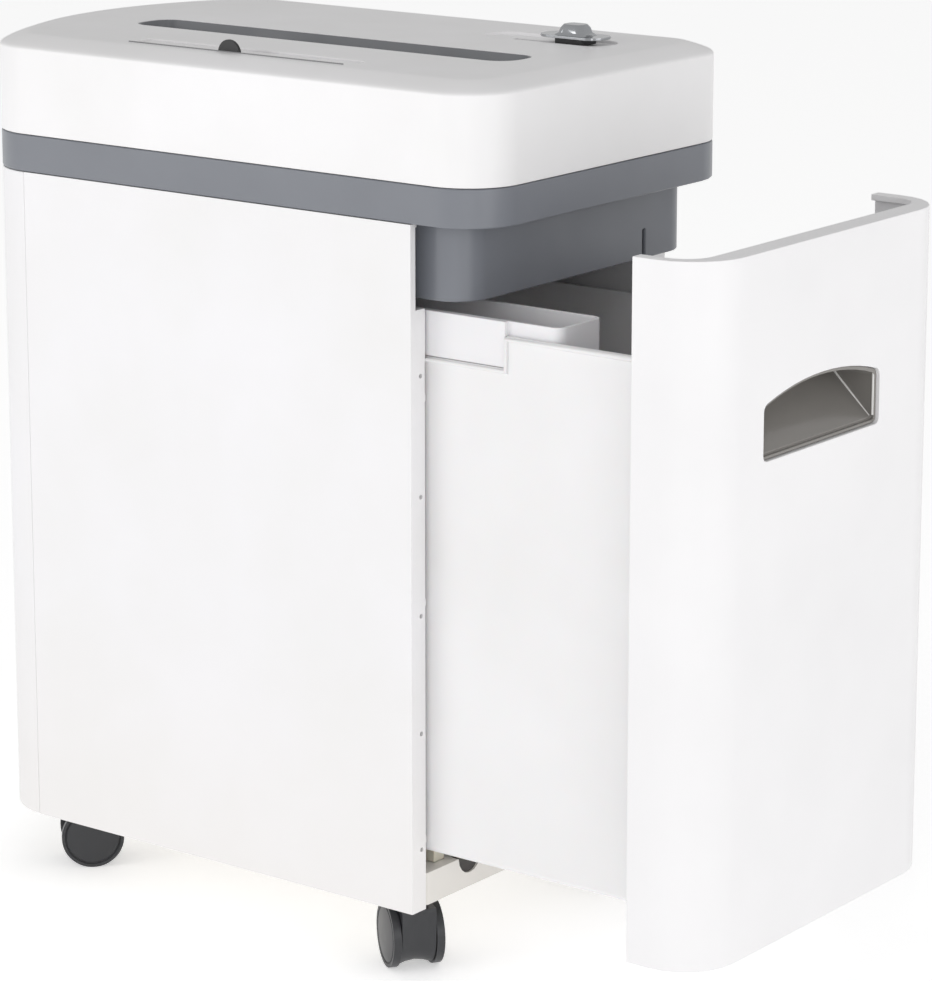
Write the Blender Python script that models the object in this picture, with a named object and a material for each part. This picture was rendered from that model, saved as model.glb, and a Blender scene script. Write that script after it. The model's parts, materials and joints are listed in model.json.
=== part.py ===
"""Cross-cut paper shredder on casters, with a pull-out waste drawer, drawn with the drawer partly open.

X is the width (the side with the CD slot is -X), Y the depth (the drawer pulls towards -Y), Z is up.
The origin is on the floor, under the middle of the whole object.
"""
import math

import bmesh
import bpy
from mathutils import Matrix, Vector

# ---------------------------------------------------------------- driving dimensions (metres)
HALF_W = 0.1025            # half width of head and cabinet
FRONT_Y = -0.107           # front face of the head
BACK_Y = 0.229             # crown of the rounded back
FRONT_R = 0.028            # plan radius of the front corners
REAR_R = 0.034             # plan radius where the sides turn into the back
BACK_R = 0.155             # plan radius of the back
DRAWER_OUT = 0.122         # how far the drawer is pulled out as drawn
GAP = 0.0003               # clearance between pieces that touch

FLOOR_GAP = 0.0351         # underside of the side panels
BASE_Z = 0.0366            # underside of the base
DECK_Z = 0.0526            # top of the base
BAND_Z = 0.3660            # underside of the grey band
SEAM_Z = 0.3843            # joint between band and white cover
RIM_Z = 0.4262             # outer edge of the cover's top
TOP_Z = 0.4321             # flat top
SHOULDER = 0.016           # width of the sloping shoulder round the top
SHELL = 0.0025             # wall of the mouldings
TOP_WALL = 0.0032          # wall of the cover's top

POD_Z = 0.3295             # underside of the cutter housing
POD_SIDE = 0.0110          # inset of the cutter housing at the sides and back
POD_FRONT = 0.0180         # inset of the cutter housing at the front

PANEL_T = 0.0104           # depth of the hollow side panels
PANEL_FRONT = -0.0665      # front edge of the side panels
PANEL_REAR = 0.1740        # joint between side panels and back panel
STRIP_LIP = 0.0036         # what is left of the front strip beside the cutter housing

CUT_X = -0.017             # paper throat
CUT_Z = 0.360              # height of the paper cutter shafts
CUT_Y0 = -0.0615           # front end of the cutting length
CUT_PITCH = 0.016          # one disc and one gap
CUT_COUNT = 14
CUT_SPAN = 0.022           # distance between the two paper shafts
DISC_R = 0.0130
CORE_R = 0.0080
SHAFT_R = 0.0040

CD_X = -0.0748             # CD throat
CD_Y = 0.0545
CD_Z = 0.378
CD_SPAN = 0.013
CD_DISC_R = 0.0082
CD_CORE_R = 0.0042
CD_RECESS = 0.0022         # depth of the recess that the disc flap lies in

SLOT_Y = 0.0505            # middle of the paper slot
SLOT_L = 0.235
SLOT_W = 0.028
THROAT_L = 0.224
THROAT_W = 0.0085

PLATE_FRONT_Y = -0.0670    # steel end plates of the cutter block
PLATE_REAR_Y = 0.1660
PLATE_T = 0.0025
GEAR_Y0 = 0.1715
GEAR_Y1 = 0.1790
MODULE = 0.001             # tooth size of all gears

SWITCH_X = 0.049
SWITCH_Y = -0.0495         # slide switch at its front stop
SWITCH_POCKET = (0.074, 0.023, 0.0016)

BIN_HALF = 0.0900
BIN_Z0 = 0.0629
BIN_RIM = 0.3178
BIN_LOW_RIM = 0.3028
BIN_STEP_Y = -0.1115
BIN_Y0 = -0.2030
BIN_Y1 = 0.0480
BIN_WALL = 0.0020

DOOR_Y = FRONT_Y - DRAWER_OUT
DOOR_Z0 = 0.0402
DOOR_Z1 = BAND_Z - 0.0006
DOOR_T = 0.0030
DOOR_LEDGE = 0.0120
DOOR_WRAP = 0.0402
SCREW_Z = 0.240
HANDLE_X = -0.008
HANDLE_W = 0.098
HANDLE_Z0 = 0.2700
HANDLE_Z1 = 0.3030
HANDLE_SIDE_Z = 0.2955     # where the straight ends of the recess would meet its arched top
HANDLE_FILLET = 0.0038     # rounding between those ends and the arch
HANDLE_DEPTH = 0.0240      # of the upper part; below it the cup's back slopes forward to its foot
HANDLE_KNEE_Z = 0.2920     # height where the slope starts

WHEEL_R = 0.0160
WHEEL_T = 0.0040
WHEEL_SIDES = 24           # facets of a wheel; one of them stands flat on the floor
HOOD_HALF = 0.00845
TRAIL = 0.0080
CASTER_BOSS = 0.0062       # radius of the socket in the base and of the flange under it
CASTERS = {                # name: stem x, stem y, direction of the trailing wheels in degrees
    "front_left": (-0.0850, -0.0545, 54.0),
    "front_right": (0.0850, -0.0545, 110.0),
    "back_left": (-0.0585, 0.1684, 135.0),
    "back_right": (0.0585, 0.1684, 20.0),
}

# ---------------------------------------------------------------- scene and materials
for leftover in list(bpy.data.objects):
    bpy.data.objects.remove(leftover, do_unlink=True)
PARTS = bpy.data.collections.new("paper_shredder")
CUTTERS = bpy.data.collections.new("cutters")
bpy.context.scene.collection.children.link(PARTS)
bpy.context.scene.collection.children.link(CUTTERS)


def material(name, colour, roughness, metallic=0.0):
    """A Principled material with the piece's colour, roughness and metallic value."""
    mat = bpy.data.materials.new(name)
    mat.use_nodes = True
    shader = mat.node_tree.nodes["Principled BSDF"]
    shader.inputs["Base Color"].default_value = (*colour, 1.0)
    shader.inputs["Roughness"].default_value = roughness
    shader.inputs["Metallic"].default_value = metallic
    return mat


WHITE = ("white", (0.82, 0.81, 0.82), 0.42, 0.0)
BAND_GREY = ("band_grey", (0.16, 0.17, 0.19), 0.34, 0.0)
DARK_GREY = ("dark_grey", (0.06, 0.065, 0.07), 0.40, 0.0)
BLACK = ("black", (0.02, 0.02, 0.022), 0.45, 0.0)
STEEL = ("steel", (0.55, 0.55, 0.56), 0.32, 1.0)
CHROME = ("chrome", (0.75, 0.76, 0.78), 0.10, 1.0)
NYLON = ("nylon", (0.72, 0.70, 0.62), 0.50, 0.0)
BOARD = ("board", (0.03, 0.20, 0.08), 0.45, 0.0)
BRASS = ("brass", (0.70, 0.50, 0.20), 0.30, 1.0)


def put(obj, name, look, collection=PARTS):
    """Name an object, give it its own material and put it in its collection."""
    for owner in list(obj.users_collection):
        owner.objects.unlink(obj)
    collection.objects.link(obj)
    obj.name = name
    obj.data.name = name
    obj.data.materials.clear()
    obj.data.materials.append(material(name, *look[1:]))
    obj.data.shade_smooth()
    obj.data.set_sharp_from_angle(angle=math.radians(35))
    return obj


def box(name, low, high, look=DARK_GREY, collection=PARTS):
    """An axis-aligned box between two corners."""
    low, high = Vector(low), Vector(high)
    bpy.ops.mesh.primitive_cube_add(size=1.0, location=(low + high) / 2)
    obj = bpy.context.object
    obj.scale = high - low
    bpy.ops.object.transform_apply(location=False, rotation=False, scale=True)
    return put(obj, name, look, collection)


def rod(name, radius, start, end, look=STEEL, collection=PARTS, sides=20):
    """A cylinder from one point to another."""
    start, end = Vector(start), Vector(end)
    along = end - start
    turn = along.to_track_quat("Z", "Y").to_euler()
    bpy.ops.mesh.primitive_cylinder_add(vertices=sides, radius=radius, depth=along.length,
                                        location=(start + end) / 2, rotation=turn)
    return put(bpy.context.object, name, look, collection)


def loft(name, rings, look=DARK_GREY, collection=PARTS):
    """One closed body through rings of equal point count, capped at the first and the last."""
    mesh = bmesh.new()
    rows = [[mesh.verts.new(point) for point in ring] for ring in rings]
    count = len(rings[0])
    for lower, upper in zip(rows, rows[1:]):
        for i in range(count):
            j = (i + 1) % count
            mesh.faces.new((lower[i], lower[j], upper[j], upper[i]))
    mesh.faces.new(rows[0][::-1])
    mesh.faces.new(rows[-1])
    bmesh.ops.recalc_face_normals(mesh, faces=mesh.faces)
    data = bpy.data.meshes.new(name)
    mesh.to_mesh(data)
    mesh.free()
    obj = bpy.data.objects.new(name, data)
    PARTS.objects.link(obj)
    return put(obj, name, look, collection)


def level(outline, z):
    """A plan outline lifted to a height."""
    return [(x, y, z) for x, y in outline]


def prism(name, outline, z0, z1, look=DARK_GREY, collection=PARTS):
    """A plan outline extruded between two heights."""
    return loft(name, [level(outline, z0), level(outline, z1)], look, collection)


def slab(name, outline, y0, y1, look=DARK_GREY, collection=PARTS):
    """An (x, z) outline extruded along Y."""
    return loft(name, [[(x, y, z) for x, z in outline] for y in (y0, y1)], look, collection)


def cutter(obj):
    """Mark an object as a tool that only cuts."""
    obj.hide_render = True
    obj.display_type = "WIRE"
    return obj


def boolean(obj, tool, operation):
    """Apply one exact Boolean and drop the tool."""
    modifier = obj.modifiers.new(operation.lower(), "BOOLEAN")
    modifier.operation = operation
    modifier.solver = "EXACT"
    modifier.object = tool
    bpy.context.view_layer.objects.active = obj
    bpy.ops.object.modifier_apply(modifier=modifier.name)
    bpy.data.objects.remove(tool, do_unlink=True)
    obj.data.shade_smooth()
    obj.data.set_sharp_from_angle(angle=math.radians(35))
    return obj


def cut(obj, *tools):
    """Subtract each tool from an object."""
    for tool in tools:
        boolean(obj, cutter(tool), "DIFFERENCE")
    return obj


def fuse(obj, *others):
    """Join overlapping bodies into one."""
    for other in others:
        boolean(obj, other, "UNION")
    return obj


def cut_box(low, high):
    return box("cut", low, high, collection=CUTTERS)


def cut_rod(radius, start, end, sides=16):
    return rod("cut", radius, start, end, collection=CUTTERS, sides=sides)


# ---------------------------------------------------------------- outlines
def arc(cx, cy, radius, start, end, steps):
    """Points along an arc, in degrees, both ends included."""
    turn = [math.radians(start + (end - start) * i / steps) for i in range(steps + 1)]
    return [(cx + radius * math.cos(a), cy + radius * math.sin(a)) for a in turn]


def rounded(cx, cy, width, depth, radius, steps=4):
    """A rectangle with rounded corners."""
    hx, hy = width / 2 - radius, depth / 2 - radius
    points = []
    for sx, sy, start in ((1, -1, -90), (1, 1, 0), (-1, 1, 90), (-1, -1, 180)):
        points += arc(cx + sx * hx, cy + sy * hy, radius, start, start + 90, steps)
    return points


def rear_joint():
    """Centre height of the rear corner arc and the angle where it meets the back arc."""
    reach = HALF_W - REAR_R
    rise = math.sqrt((BACK_R - REAR_R) ** 2 - reach ** 2)
    return BACK_Y - BACK_R + rise, math.degrees(math.atan2(rise, reach))


def plan(inset, front_inset=None, front_radius=None):
    """The cabinet's D-shaped plan, moved inwards by an inset that can differ at the front."""
    front = FRONT_Y + (inset if front_inset is None else front_inset)
    radius = FRONT_R - inset if front_radius is None else front_radius
    half = HALF_W - inset
    corner_y, joint = rear_joint()
    centre_y = BACK_Y - BACK_R
    points = arc(half - radius, front + radius, radius, -90, 0, 6)
    points += arc(half - (REAR_R - inset), corner_y, REAR_R - inset, 0, joint, 5)
    points += arc(0.0, centre_y, BACK_R - inset, joint, 180 - joint, 12)[1:-1]
    points += arc(-half + (REAR_R - inset), corner_y, REAR_R - inset, 180 - joint, 180, 5)
    points += arc(-half + radius, front + radius, radius, 180, 270, 6)
    return points


def gear_outline(cx, cz, teeth, phase):
    """Straight-flanked teeth with working backlash, in the (x, z) plane."""
    pitch = 2 * math.pi / teeth
    radius = MODULE * teeth / 2
    tip, root = radius + 0.75 * MODULE, radius - 1.15 * MODULE
    points = []
    for k in range(teeth):
        middle = phase + k * pitch
        for share, r in ((-0.29, root), (-0.11, tip), (0.11, tip), (0.29, root)):
            angle = middle + share * pitch
            points.append((cx + r * math.cos(angle), cz + r * math.sin(angle)))
    return points


def mesh_phase(centre, teeth, phase, next_centre, next_teeth):
    """Phase that puts a gap of the next gear where this gear has a tooth."""
    pitch = 2 * math.pi / teeth
    next_pitch = 2 * math.pi / next_teeth
    angle = math.atan2(next_centre[1] - centre[1], next_centre[0] - centre[0])
    part = ((angle - phase) / pitch) % 1.0
    return angle + math.pi + (part + 0.5) * next_pitch


def between(first, r1, second, r2, side):
    """Centre of a gear that touches two others, on one side of their centre line."""
    dx, dz = second[0] - first[0], second[1] - first[1]
    span = math.hypot(dx, dz)
    along = (r1 ** 2 - r2 ** 2 + span ** 2) / (2 * span)
    off = math.sqrt(r1 ** 2 - along ** 2) * side
    return (first[0] + (along * dx - off * dz) / span, first[1] + (along * dz + off * dx) / span)


# ---------------------------------------------------------------- cabinet
def build_side_panel(name, side):
    """A hollow side panel, open towards the inside, with a front strip that takes the door catches."""
    outer, inner = side * HALF_W, side * (HALF_W - PANEL_T)
    top = BAND_Z - GAP
    panel = box(name, (min(outer, inner), PANEL_FRONT, FLOOR_GAP), (max(outer, inner), PANEL_REAR, top), WHITE)
    skin = outer - side * SHELL
    far = inner - side * 0.002
    hollow = cut_box((min(skin, far), PANEL_FRONT + 0.003, FLOOR_GAP + 0.003),
                     (max(skin, far), PANEL_REAR - 0.003, top - 0.003))
    cut(panel, hollow)
    lip, deep = side * (HALF_W - STRIP_LIP), side * (HALF_W - PANEL_T - 0.002)
    cut(panel, cut_box((min(lip, deep), PANEL_FRONT - 0.002, POD_Z - 0.0040),
                       (max(lip, deep), PANEL_FRONT + 0.0045, BAND_Z + 0.002)))
    hole_x = side * 0.0952
    for k in range(5):
        z = 0.0655 + 0.0572 * k
        cut(panel, cut_rod(0.0012, (hole_x, PANEL_FRONT - 0.002, z), (hole_x, PANEL_FRONT + 0.006, z), 10))
    return panel


def build_cabinet():
    """Side panels, wrap-round back, base with caster sockets and the two drawer runners."""
    build_side_panel("side_panel_left", -1)
    build_side_panel("side_panel_right", 1)

    outer = [p for p in plan(0.0) if p[1] > PANEL_REAR + 0.0001]
    inner = [p for p in plan(0.003) if p[1] > PANEL_REAR + 0.0001]
    start = PANEL_REAR + GAP
    outer = [(HALF_W, start)] + outer + [(-HALF_W, start)]
    inner = [(HALF_W - 0.003, start)] + inner + [(-HALF_W + 0.003, start)]
    prism("back_panel", outer + inner[::-1], FLOOR_GAP, BAND_Z - GAP, WHITE)

    footprint = plan(PANEL_T + GAP, PANEL_FRONT - FRONT_Y, 0.002)
    base = prism("base", footprint, BASE_Z, DECK_Z, WHITE)
    inside = plan(PANEL_T + GAP + 0.003, PANEL_FRONT - FRONT_Y + 0.003, 0.001)
    cut(base, prism("cut", inside, BASE_Z - 0.002, DECK_Z - 0.003, collection=CUTTERS))
    for x, y, _ in CASTERS.values():
        fuse(base, rod("boss", CASTER_BOSS, (x, y, BASE_Z), (x, y, DECK_Z - 0.001), WHITE))
        cut(base, cut_rod(0.0043, (x, y, BASE_Z - 0.002), (x, y, DECK_Z - 0.0035)))
    for side in (-1, 1):
        notch_x = side * 0.0575
        cut(base, cut_rod(0.009, (notch_x, PANEL_FRONT - 0.002, DECK_Z), (notch_x, PANEL_FRONT + 0.004, DECK_Z)))
        name = "runner_left" if side < 0 else "runner_right"
        box(name, (side * 0.074 - 0.004, PANEL_FRONT + 0.006, DECK_Z + GAP),
            (side * 0.074 + 0.004, 0.165, BIN_Z0 - GAP), NYLON)


# ---------------------------------------------------------------- head mouldings
def build_cover():
    """White top cover: straight wall, sloping shoulder, flat top, slots and the switch pocket."""
    rings = [
        level(plan(TOP_WALL + SHOULDER), TOP_Z - TOP_WALL),
        level(plan(SHELL + 0.0005), RIM_Z - TOP_WALL),
        level(plan(SHELL), SEAM_Z + GAP),
        level(plan(0.0), SEAM_Z + GAP),
        level(plan(0.0), RIM_Z - 0.0010),
        level(plan(0.0008), RIM_Z),
        level(plan(SHOULDER), TOP_Z),
    ]
    cover = loft("head_cover", rings, WHITE)
    slot = rounded(CUT_X, SLOT_Y, SLOT_W, SLOT_L, 0.010)
    cut(cover, prism("cut", slot, TOP_Z - 0.01, TOP_Z + 0.01, collection=CUTTERS))
    recess = rounded(CD_X, CD_Y, 0.0158, 0.1346, 0.0015)
    cut(cover, prism("cut", recess, TOP_Z - CD_RECESS, TOP_Z + 0.01, collection=CUTTERS))
    cut(cover, cut_box((CD_X - 0.0042, CD_Y - 0.0635, TOP_Z - 0.01), (CD_X + 0.0042, CD_Y + 0.0635, TOP_Z + 0.01)))
    length, width, depth = SWITCH_POCKET
    pocket_y = SWITCH_Y + 0.015
    pocket = rounded(SWITCH_X, pocket_y, width, length, width / 2 - 0.0005, 6)
    cut(cover, prism("cut", pocket, TOP_Z - depth, TOP_Z + 0.01, collection=CUTTERS))
    cut(cover, cut_box((SWITCH_X - 0.0025, pocket_y - 0.022, TOP_Z - 0.01),
                       (SWITCH_X + 0.0025, pocket_y + 0.022, TOP_Z + 0.01)))
    cut(cover, cut_box((-0.0145, BACK_Y - 0.008, 0.3945), (0.0145, BACK_Y + 0.004, 0.4175)))
    return cover


def build_lower_shell():
    """Grey band and the recessed cutter housing under it, one moulding open at the top."""
    shell = prism("lower_shell", plan(0.0), BAND_Z, SEAM_Z, BAND_GREY)
    pod = plan(POD_SIDE, POD_FRONT)
    fuse(shell, prism("pod", pod, POD_Z, BAND_Z + 0.001, BAND_GREY))
    cut(shell, prism("cut", plan(SHELL), BAND_Z + SHELL, SEAM_Z + 0.01, collection=CUTTERS))
    inner_pod = plan(POD_SIDE + SHELL, POD_FRONT + SHELL)
    cut(shell, prism("cut", inner_pod, POD_Z + SHELL, SEAM_Z + 0.01, collection=CUTTERS))
    cut(shell, cut_box((CUT_X - 0.021, CUT_Y0, POD_Z - 0.01), (CUT_X + 0.021, CUT_Y0 + 0.224, POD_Z + 0.01)))
    cut(shell, cut_box((CD_X - 0.0105, CD_Y - 0.0665, POD_Z - 0.01), (CD_X + 0.0165, CD_Y + 0.0665, POD_Z + 0.01)))
    slit_y = FRONT_Y + POD_FRONT
    cut(shell, cut_box((0.0504, slit_y - 0.004, POD_Z - 0.004), (0.0526, slit_y + 0.005, POD_Z + 0.0145)))
    return shell


def hollow_chute(name, sections, wall, look):
    """A tube of rounded rectangles (x, y, width, depth, radius, z), listed from the top down."""
    inner = [level(rounded(x, y, w, d, r), z) for x, y, w, d, r, z in sections]
    outer = [level(rounded(x, y, w + 2 * wall, d + 2 * wall, r + wall), z) for x, y, w, d, r, z in sections]
    mesh_rings = outer[::-1] + inner
    body = loft(name, mesh_rings, look)
    return open_tube(body, len(inner[0]))


def open_tube(body, count):
    """Replace a lofted tube's two caps by the ring that joins its inner and outer walls."""
    mesh = bmesh.new()
    mesh.from_mesh(body.data)
    mesh.verts.ensure_lookup_table()
    caps = [face for face in mesh.faces if len(face.verts) == count]
    bmesh.ops.delete(mesh, geom=caps, context="FACES_ONLY")
    total = len(mesh.verts)
    first = [mesh.verts[i] for i in range(count)]
    last = [mesh.verts[total - count + i] for i in range(count)]
    for i in range(count):
        j = (i + 1) % count
        mesh.faces.new((first[i], first[j], last[j], last[i]))
    bmesh.ops.recalc_face_normals(mesh, faces=mesh.faces)
    mesh.to_mesh(body.data)
    mesh.free()
    return body


def build_head():
    """Cover, lower shell, chutes, CD flap with its tab, slide switch and mains inlet."""
    build_cover()
    build_lower_shell()
    wall = 0.0012
    side = 2 * (wall + GAP)
    hollow_chute("feed_chute", [
        (CUT_X, SLOT_Y, SLOT_W - side, SLOT_L - side, 0.0085, TOP_Z - 0.0004),
        (CUT_X, SLOT_Y, SLOT_W - side - 0.003, SLOT_L - side - 0.003, 0.0075, TOP_Z - 0.0050),
        (CUT_X, SLOT_Y, THROAT_W + 0.004, THROAT_L + 0.002, 0.0045, TOP_Z - 0.0220),
        (CUT_X, SLOT_Y, THROAT_W, THROAT_L, 0.0030, TOP_Z - 0.0300),
        (CUT_X, SLOT_Y, THROAT_W, THROAT_L, 0.0030, SEAM_Z + 0.0010)], wall, DARK_GREY)
    hollow_chute("cd_chute", [
        (CD_X, CD_Y, 0.0080, 0.1270, 0.0010, TOP_Z - TOP_WALL - GAP),
        (CD_X, CD_Y, 0.0060, 0.1250, 0.0010, TOP_Z - 0.0150),
        (CD_X, CD_Y, 0.0060, 0.1250, 0.0010, CD_Z + 0.0110)], wall, DARK_GREY)

    prism("cd_flap", rounded(CD_X, CD_Y, 0.0150, 0.1338, 0.0012, 2), TOP_Z - CD_RECESS + GAP,
          TOP_Z - 0.0011, WHITE)
    tab_x = CD_X - 0.0068
    half_disc = [(CD_Y + 0.0035 + y, TOP_Z + z) for y, z in arc(0.0, -0.0008, 0.0068, 0, 180, 12)]
    loft("cd_flap_tab", [[(tab_x + dx, y, z) for y, z in half_disc] for dx in (-0.0008, 0.0008)], BLACK)

    slider_top = TOP_Z + 0.0032
    slider = prism("switch_slider", rounded(SWITCH_X, SWITCH_Y, 0.0175, 0.0370, 0.0080, 5),
                   slider_top - 0.0012, slider_top, CHROME)
    knob = [level(rounded(SWITCH_X, SWITCH_Y, w, l, r), z) for w, l, r, z in (
        (0.0150, 0.0230, 0.0050, slider_top - 0.0006),
        (0.0118, 0.0160, 0.0040, slider_top + 0.0012),
        (0.0106, 0.0138, 0.0036, slider_top + 0.0036),
        (0.0086, 0.0108, 0.0030, TOP_Z + 0.0084))]
    fuse(slider, loft("knob", knob, CHROME))
    fuse(slider, box("stem", (SWITCH_X - 0.0018, SWITCH_Y - 0.0030, TOP_Z - 0.0070),
                     (SWITCH_X + 0.0018, SWITCH_Y + 0.0030, slider_top - 0.0005), CHROME))
    body_top = TOP_Z - TOP_WALL - GAP
    switch = box("slide_switch", (SWITCH_X - 0.007, SWITCH_Y - 0.010, body_top - 0.012),
                 (SWITCH_X + 0.007, SWITCH_Y + 0.040, body_top), BLACK)
    cut(switch, cut_box((SWITCH_X - 0.0025, SWITCH_Y - 0.0055, body_top - 0.0045),
                        (SWITCH_X + 0.0025, SWITCH_Y + 0.0355, body_top + 0.001)))

    inlet_y = BACK_Y - 0.0012
    inlet = box("power_inlet", (-0.0142, inlet_y - 0.018, 0.3948), (0.0142, inlet_y, 0.4172), BLACK)
    cut(inlet, cut_box((-0.0115, inlet_y - 0.0140, 0.3980), (0.0115, inlet_y + 0.0020, 0.4140)))
    for x, z in ((-0.0065, 0.4040), (0.0, 0.4085), (0.0065, 0.4040)):
        fuse(inlet, box("pin", (x - 0.0010, inlet_y - 0.0150, z - 0.0020), (x + 0.0010, inlet_y - 0.0035, z + 0.0020),
                        BRASS))


# ---------------------------------------------------------------- cutter block and drive
A = (CUT_X - CUT_SPAN / 2, CUT_Z)
B = (CUT_X + CUT_SPAN / 2, CUT_Z)
MOTOR = (0.0500, 0.3650)
CD_A = (CD_X - CD_SPAN / 2, CD_Z)
CD_B = (CD_X + CD_SPAN / 2, CD_Z)
TEETH = {"cutter": 22, "idler": 40, "pinion": 12, "cd_idler": 27, "cd": 13}
RADIUS = {name: MODULE * teeth / 2 for name, teeth in TEETH.items()}
IDLER = between(B, RADIUS["cutter"] + RADIUS["idler"], MOTOR, RADIUS["pinion"] + RADIUS["idler"], -1)
CD_IDLER = between(A, RADIUS["cutter"] + RADIUS["cd_idler"], CD_B, RADIUS["cd"] + RADIUS["cd_idler"], 1)


def cutter_profile(first, pitch, count, disc_r, core_r, disc_t, y_start, y_end):
    """Half profile (radius, y) of a shaft with discs, from its front end to its rear end."""
    points = [(SHAFT_R * 0.9, y_start)]
    points.append((SHAFT_R * 0.9, first - 0.0006))
    points.append((core_r, first - 0.0006))
    for k in range(count):
        y = first + k * pitch
        points += [(core_r, y), (disc_r, y), (disc_r, y + disc_t), (core_r, y + disc_t)]
    last = first + (count - 1) * pitch + disc_t + 0.0006
    points += [(core_r, last), (SHAFT_R * 0.9, last), (SHAFT_R * 0.9, y_end)]
    return points


def turned(name, centre, profile, look, steps=12):
    """A turned shaft along Y: the profile is spun about the shaft's axis."""
    cx, cz = centre
    spin = [2 * math.pi * i / steps for i in range(steps)]
    rings = [[(cx + r * math.cos(a), y, cz + r * math.sin(a)) for a in spin] for r, y in profile]
    return loft(name, rings, look)


def build_shafts():
    """Two paper cutter shafts with interleaved discs, and two short CD cutter shafts."""
    disc = 0.0070
    end = GEAR_Y1 + 0.0015
    for name, centre, shift in (("cutter_shaft_a", A, 0.0010), ("cutter_shaft_b", B, 0.0090)):
        count = CUT_COUNT if shift < 0.005 else CUT_COUNT - 1
        turned(name, centre, cutter_profile(CUT_Y0 + shift, CUT_PITCH, count, DISC_R, CORE_R, disc,
                                            PLATE_FRONT_Y - 0.004, end), STEEL)
    for name, centre, shift in (("cd_shaft_a", CD_A, 0.0010), ("cd_shaft_b", CD_B, 0.0130)):
        count = 6 if shift < 0.005 else 5
        turned(name, centre, cutter_profile(CD_Y - 0.0630 + shift, 0.024, count, CD_DISC_R, CD_CORE_R, 0.010,
                                            PLATE_FRONT_Y - 0.004, end), STEEL, 10)


def build_frame():
    """Steel end plates, bearing blocks, tie bars and the stripper combs between the discs."""
    low, high = POD_Z + SHELL + 0.0012, 0.3950
    journal = SHAFT_R * 0.9 + 0.0001
    shafts = (A, B, CD_A, CD_B)
    blocks = {"front": (PLATE_FRONT_Y, PLATE_FRONT_Y + PLATE_T + GAP), "rear": (PLATE_REAR_Y, PLATE_REAR_Y - GAP - PLATE_T)}
    for end, (y0, block_y) in blocks.items():
        right = 0.0800 if end == "rear" else 0.0240
        plate = box("end_plate_" + end, (-0.0878, y0, low), (right, y0 + PLATE_T, high), STEEL)
        block = box("bearing_block_" + end, (-0.0868, block_y, 0.3500), (0.0040, block_y + PLATE_T, 0.3846), NYLON)
        for x, z in shafts:
            cut(plate, cut_rod(journal + 0.0008, (x, y0 - 0.002, z), (x, y0 + PLATE_T + 0.002, z)))
            cut(block, cut_rod(journal, (x, block_y - 0.002, z), (x, block_y + PLATE_T + 0.002, z)))
        if end == "rear":
            cut(plate, cut_rod(0.0034, (MOTOR[0], y0 - 0.002, MOTOR[1]), (MOTOR[0], y0 + PLATE_T + 0.002, MOTOR[1])))
            for x, z in (IDLER, CD_IDLER):
                cut(plate, cut_rod(0.0026, (x, y0 - 0.002, z), (x, y0 + PLATE_T + 0.002, z)))
    y0, y1 = PLATE_FRONT_Y + PLATE_T + GAP, PLATE_REAR_Y - GAP
    for name, x in (("tie_bar_left", -0.0480), ("tie_bar_right", 0.0160)):
        rod(name, 0.0025, (x, y0, 0.3900), (x, y1, 0.3900), STEEL, sides=12)

    for name, centre, side, shift in (("stripper_comb_a", A, -1, 0.0010), ("stripper_comb_b", B, 1, 0.0090)):
        bar_x = centre[0] + side * 0.0165
        back_x = centre[0] + side * 0.0140
        tip_x = centre[0] + side * (CORE_R + 0.0008)
        count = CUT_COUNT if shift < 0.005 else CUT_COUNT - 1
        first, last = y0 + PLATE_T + GAP, y1 - PLATE_T - GAP
        points = [(bar_x, first), (bar_x, last), (back_x, last)]
        for k in reversed(range(count - 1)):
            y = CUT_Y0 + shift + k * CUT_PITCH + 0.0080
            points += [(back_x, y + 0.0070), (tip_x, y + 0.0070), (tip_x, y), (back_x, y)]
        points.append((back_x, first))
        prism(name, points, CUT_Z - 0.0020, CUT_Z + 0.0020, STEEL)


def gear(name, centre, teeth, phase, bore, look=NYLON):
    """One spur gear on the rear side of the cutter block."""
    body = slab(name, gear_outline(*centre, teeth, phase), GEAR_Y0, GEAR_Y1, look)
    return cut(body, cut_rod(bore, (centre[0], GEAR_Y0 - 0.002, centre[1]), (centre[0], GEAR_Y1 + 0.002, centre[1])))


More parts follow.
